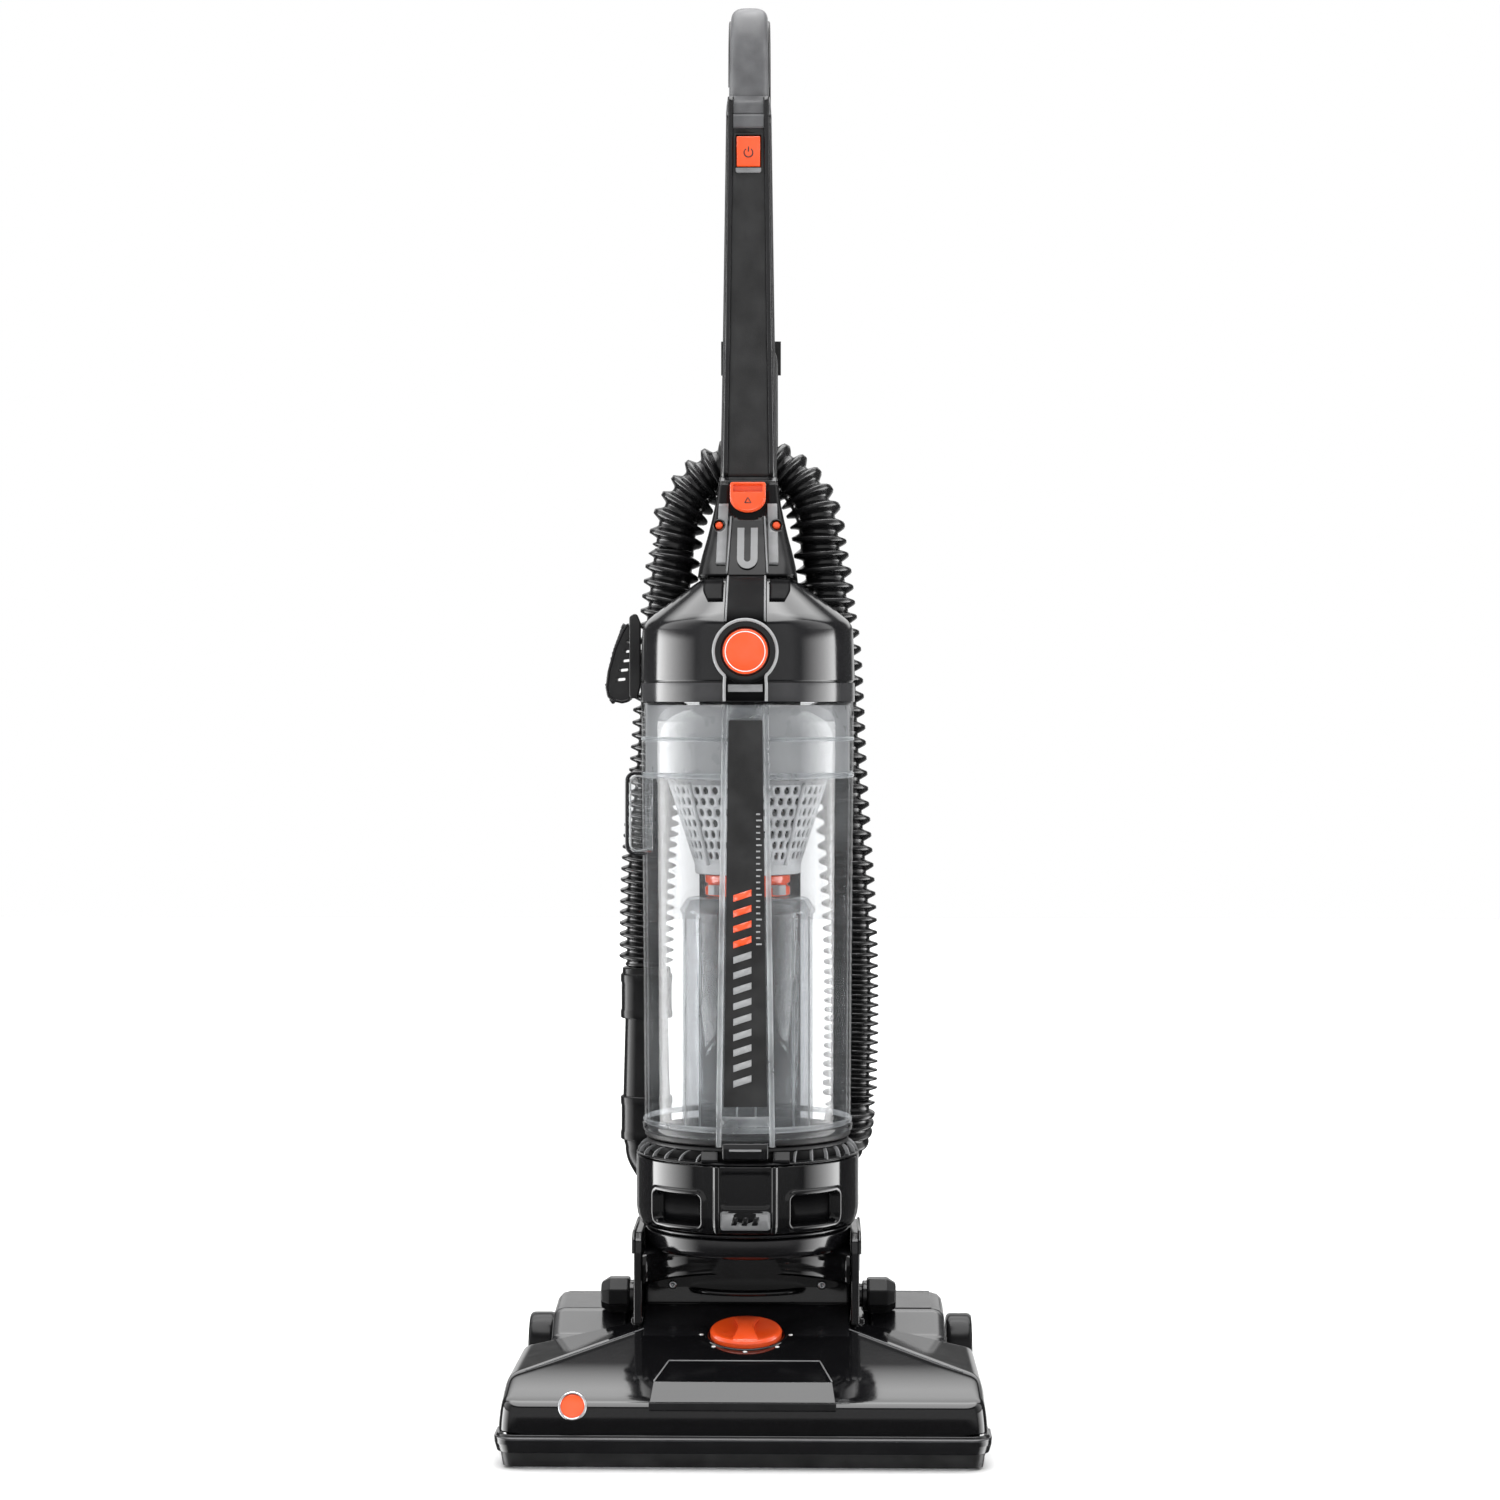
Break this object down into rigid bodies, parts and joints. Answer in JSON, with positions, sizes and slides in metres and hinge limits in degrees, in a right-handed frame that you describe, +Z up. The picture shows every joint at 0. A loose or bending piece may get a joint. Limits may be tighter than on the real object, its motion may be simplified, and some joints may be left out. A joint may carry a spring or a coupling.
{
  "type": "upright vacuum cleaner",
  "caption": "Upright bagless vacuum cleaner: floor nozzle with belt-driven brush, reclining body with clear dirt cup, side hose with wand, tool and loop handle.",
  "frame": {"origin": "on the floor, under the middle of the machine's bounding box", "axes": "+Z up, -Y towards the nozzle's front, +Y towards the user, +X towards the right of a viewer who faces the machine's front"},
  "size_m": [0.357, 0.33, 1.0905],
  "materials": {
    "gloss_black": "black gloss moulding",
    "body_black": "black semi-gloss moulding",
    "matt_black": "black matt moulding",
    "grip_grey": "dark grey satin moulding",
    "orange": "orange moulding",
    "rubber": "black flexible",
    "clear": "clear plastic",
    "mesh_grey": "pale grey perforated plastic",
    "filter_paper": "pleated filter medium",
    "steel": "steel",
    "copper": "laminations and copper windings"
  },
  "bodies": {
    "base": {"base_chassis": "matt_black", "nozzle_cover": "gloss_black", "front_bumper": "rubber", "sole_plate": "steel", "rear_pod_left": "body_black", "rear_pod_right": "body_black", "pod_access_panel": "body_black", "pivot_cap_left": "gloss_black", "pivot_cap_right": "gloss_black", "rear_axle_left": "steel", "rear_axle_right": "steel", "agitator_bearing_left": "matt_black", "agitator_bearing_right": "matt_black", "drive_belt": "rubber", "nozzle_hose": "rubber"},
    "rear_wheel_left": {"rear_wheel_left": "matt_black"},
    "rear_wheel_right": {"rear_wheel_right": "matt_black"},
    "agitator": {"agitator_drum": "matt_black", "bristle_strip_left": "rubber", "bristle_strip_right": "rubber"},
    "release_pedal": {"release_pedal": "matt_black"},
    "knob_plunger": {"knob_plunger": "matt_black"},
    "height_knob": {"height_knob": "orange"},
    "lift_carriage": {"lift_carriage": "matt_black"},
    "front_wheel_left": {"front_wheel_left": "matt_black"},
    "front_wheel_right": {"front_wheel_right": "matt_black"},
    "upright": {"lower_housing": "body_black", "motor_stator": "copper", "filter_housing": "body_black", "hepa_filter": "filter_paper", "vent_grille": "matt_black", "spine_housing": "body_black", "neck_housing": "body_black", "handle_tube": "body_black", "handle_grip": "grip_grey", "cord_hook_lower": "matt_black", "power_cord": "rubber", "hose": "rubber", "hose_end_cuff": "matt_black", "lower_elbow": "matt_black", "inlet_seal": "rubber"},
    "motor_rotor": {"rotor_armature": "steel", "suction_fan": "steel", "rotor_shaft": "steel"},
    "filter_cover": {"filter_cover": "gloss_black"},
    "dirt_cup": {"dirt_cup": "clear", "cup_strip": "matt_black", "cup_door": "matt_black", "fine_dust_tube": "clear", "filter_ring": "orange", "filter_cone": "mesh_grey", "cup_lid": "body_black", "lid_badge": "orange"},
    "power_switch": {"power_switch": "orange"},
    "cup_latch": {"cup_latch": "orange"},
    "handle_button_left": {"handle_button_left": "orange"},
    "handle_button_right": {"handle_button_right": "orange"},
    "cord_hook_upper": {"cord_hook_upper": "matt_black"},
    "brush_tool": {"brush_tool": "matt_black"},
    "wand": {"wand": "matt_black"}
  },
  "joints": [
    {"name": "recline", "type": "hinge", "parent": "base", "child": "upright", "pos_m": [0, 0.05, 0.089], "axis": [-1, 0, 0], "range_deg": [0, 75], "deforming": ["nozzle_hose"]},
    {"name": "motor_spin", "type": "hinge", "parent": "upright", "child": "motor_rotor", "pos_m": [0, 0.05, 0.089], "axis": [1, 0, 0], "continuous": true},
    {"name": "agitator_spin", "type": "hinge", "parent": "base", "child": "agitator", "pos_m": [0, -0.125, 0.024], "axis": [1, 0, 0], "continuous": true},
    {"name": "rear_wheel_left_spin", "type": "hinge", "parent": "base", "child": "rear_wheel_left", "pos_m": [-0.166, 0.135, 0.03], "axis": [1, 0, 0], "continuous": true},
    {"name": "rear_wheel_right_spin", "type": "hinge", "parent": "base", "child": "rear_wheel_right", "pos_m": [0.166, 0.135, 0.03], "axis": [1, 0, 0], "continuous": true},
    {"name": "release_pedal_press", "type": "hinge", "parent": "base", "child": "release_pedal", "pos_m": [-0.112, 0.112, 0.06], "axis": [-1, 0, 0], "range_deg": [0, 16]},
    {"name": "height_knob_push", "type": "slide", "parent": "base", "child": "knob_plunger", "axis": [0, 0.1961, -0.9806], "range_m": [0, 0.003]},
    {"name": "height_knob_turn", "type": "hinge", "parent": "knob_plunger", "child": "height_knob", "pos_m": [0, -0.04, 0.0745], "axis": [0, -0.1961, 0.9806], "range_deg": [-90, 90]},
    {"name": "front_carriage_tilt", "type": "hinge", "parent": "base", "child": "lift_carriage", "pos_m": [0, -0.02, 0.012], "axis": [1, 0, 0], "range_deg": [-6, 6]},
    {"name": "front_wheel_left_spin", "type": "hinge", "parent": "lift_carriage", "child": "front_wheel_left", "pos_m": [-0.0535, -0.072, 0.009], "axis": [1, 0, 0], "continuous": true},
    {"name": "front_wheel_right_spin", "type": "hinge", "parent": "lift_carriage", "child": "front_wheel_right", "pos_m": [0.0535, -0.072, 0.009], "axis": [1, 0, 0], "continuous": true},
    {"name": "filter_cover_removal", "type": "slide", "parent": "upright", "child": "filter_cover", "axis": [0, -1, 0], "range_m": [0, 0.06]},
    {"name": "dirt_cup_removal", "type": "slide", "parent": "upright", "child": "dirt_cup", "axis": [0, -1, 0], "range_m": [0, 0.2]},
    {"name": "power_switch_rock", "type": "hinge", "parent": "upright", "child": "power_switch", "pos_m": [0, 0.056, 0.975], "axis": [1, 0, 0], "range_deg": [-8, 0]},
    {"name": "cup_latch_lift", "type": "slide", "parent": "upright", "child": "cup_latch", "axis": [0, 0, -1], "range_m": [0, 0.005]},
    {"name": "handle_button_left_push", "type": "slide", "parent": "upright", "child": "handle_button_left", "axis": [0, 1, 0], "range_m": [0, 0.003]},
    {"name": "handle_button_right_push", "type": "slide", "parent": "upright", "child": "handle_button_right", "axis": [0, 1, 0], "range_m": [0, 0.003]},
    {"name": "cord_hook_turn", "type": "hinge", "parent": "upright", "child": "cord_hook_upper", "pos_m": [0, 0.12, 0.817], "axis": [0, 1, 0], "range_deg": [0, 180]},
    {"name": "brush_tool_removal", "type": "slide", "parent": "upright", "child": "brush_tool", "axis": [-1, 0, 0], "range_m": [0, 0.04]},
    {"name": "wand_pull", "type": "slide", "parent": "upright", "child": "wand", "axis": [0, 0, 1], "range_m": [0, 0.05], "deforming": ["hose"]}
  ],
  "couplings": [
    {"joint": "agitator_spin", "follows": "motor_spin", "ratio": 0.42857},
    {"joint": "front_carriage_tilt", "follows": "height_knob_turn", "ratio": 0.066667}
  ]
}
